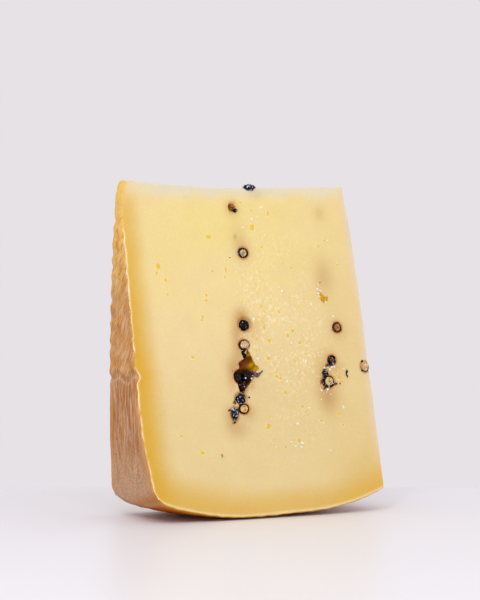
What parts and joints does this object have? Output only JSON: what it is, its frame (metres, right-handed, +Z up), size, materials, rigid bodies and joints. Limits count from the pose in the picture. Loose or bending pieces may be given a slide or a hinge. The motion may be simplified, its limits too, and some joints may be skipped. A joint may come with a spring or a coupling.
{
  "type": "peppered pecorino wedge",
  "caption": "Tall wedge of peppered hard sheep's cheese, cut from a wheel: a ridged rind face, three cut faces with peppercorns, and a bulging rim it stands on.",
  "frame": {"origin": "middle of the small flat on the rim that the wedge stands on", "axes": "+Z up towards the thin edge of the wedge; +X along the wheel's axis, from the rind face to the cut end; +Y from the front cut to the back cut"},
  "size_m": [0.1239, 0.0486, 0.1496],
  "materials": {
    "paste": "satin, slightly translucent, dark yellow near the rind",
    "rind": "matt, ridged and grained, orange-brown",
    "peppercorn": "wrinkled, half glossy, black to brown with a pale heart"
  },
  "bodies": {
    "root": {"pecorino_wedge": "paste"}
  },
  "joints": []
}
